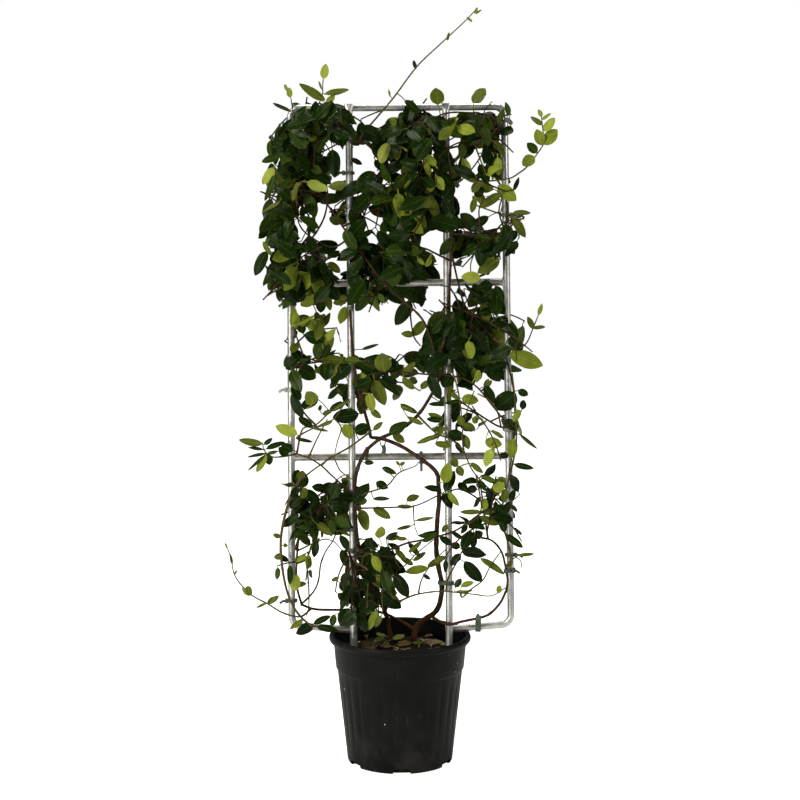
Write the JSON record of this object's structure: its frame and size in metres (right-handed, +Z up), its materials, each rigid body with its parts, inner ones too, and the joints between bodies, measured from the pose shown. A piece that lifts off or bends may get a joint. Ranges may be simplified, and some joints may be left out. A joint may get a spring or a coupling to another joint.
{
  "type": "potted star jasmine",
  "caption": "Climbing evergreen jasmine in a round black nursery pot, trained up an upright tube rack with two legs in the soil.",
  "frame": {"origin": "middle of the pot's flat underside", "axes": "+Z up, +X to the right along the rack, -Y to the front; the rack leans back towards +Y"},
  "size_m": [0.4603, 0.2113, 1.0027],
  "materials": {
    "pot_plastic": "moulded black nursery-pot plastic, satin, with shallow flutes and scuffs",
    "soil": "damp dark peat compost with litter, roots and perlite",
    "rack_tube": "dull galvanised round tube with faint spangle",
    "tie_plastic": "grey-green plastic plant tie",
    "stem_bark": "dark reddish-brown bark, matt and finely ridged",
    "foliage": "glossy dark green leaves with pale midribs",
    "young_shoots": "satin yellow-green young leaves on olive runners"
  },
  "bodies": {
    "root": {"bough_centre": "stem_bark", "bough_diagonal": "stem_bark", "bough_left_leg": "stem_bark", "bough_right_leg": "stem_bark", "foliage_centre_middle": "foliage", "foliage_crown": "foliage", "foliage_left_edge": "foliage", "foliage_left_lower": "foliage", "foliage_left_middle": "foliage", "foliage_left_shoulder": "foliage", "foliage_lower_centre": "foliage", "foliage_right_low_middle": "foliage", "foliage_right_lower": "foliage", "foliage_right_middle": "foliage", "foliage_top_centre": "foliage", "foliage_top_left": "foliage", "foliage_top_right": "foliage", "foliage_upper_centre": "foliage", "foliage_upper_left": "foliage", "foliage_upper_middle": "foliage", "foliage_upper_right": "foliage", "loop_left_high": "stem_bark", "loop_left_low": "stem_bark", "loop_right_high": "stem_bark", "loop_right_low": "stem_bark", "pot": "pot_plastic", "rack_crossbar_lower": "rack_tube", "rack_crossbar_upper": "rack_tube", "rack_foot_left": "rack_tube", "rack_foot_right": "rack_tube", "rack_leg_left": "rack_tube", "rack_leg_right": "rack_tube", "rack_low_elbow_left": "rack_tube", "rack_low_elbow_right": "rack_tube", "rack_post_left": "rack_tube", "rack_post_right": "rack_tube", "rack_top_elbow_left": "rack_tube", "rack_top_elbow_right": "rack_tube", "rack_top_rail": "rack_tube", "runner_left_high": "stem_bark", "runner_left_mid": "stem_bark", "runner_top": "stem_bark", "shoot_left": "young_shoots", "shoot_low_left": "young_shoots", "shoot_right": "young_shoots", "shoot_top": "young_shoots", "shoot_top_left": "young_shoots", "shoot_upper_right": "young_shoots", "soil": "soil", "stem_arch": "stem_bark", "stem_left_high": "stem_bark", "stem_left_low": "stem_bark", "stem_right_high": "stem_bark", "stem_right_low": "stem_bark", "tie_left_leg": "tie_plastic", "tie_right_foot": "tie_plastic", "tie_right_leg": "tie_plastic", "tie_right_post": "tie_plastic", "trail_right_high": "stem_bark", "trail_right_low": "stem_bark"}
  },
  "joints": []
}
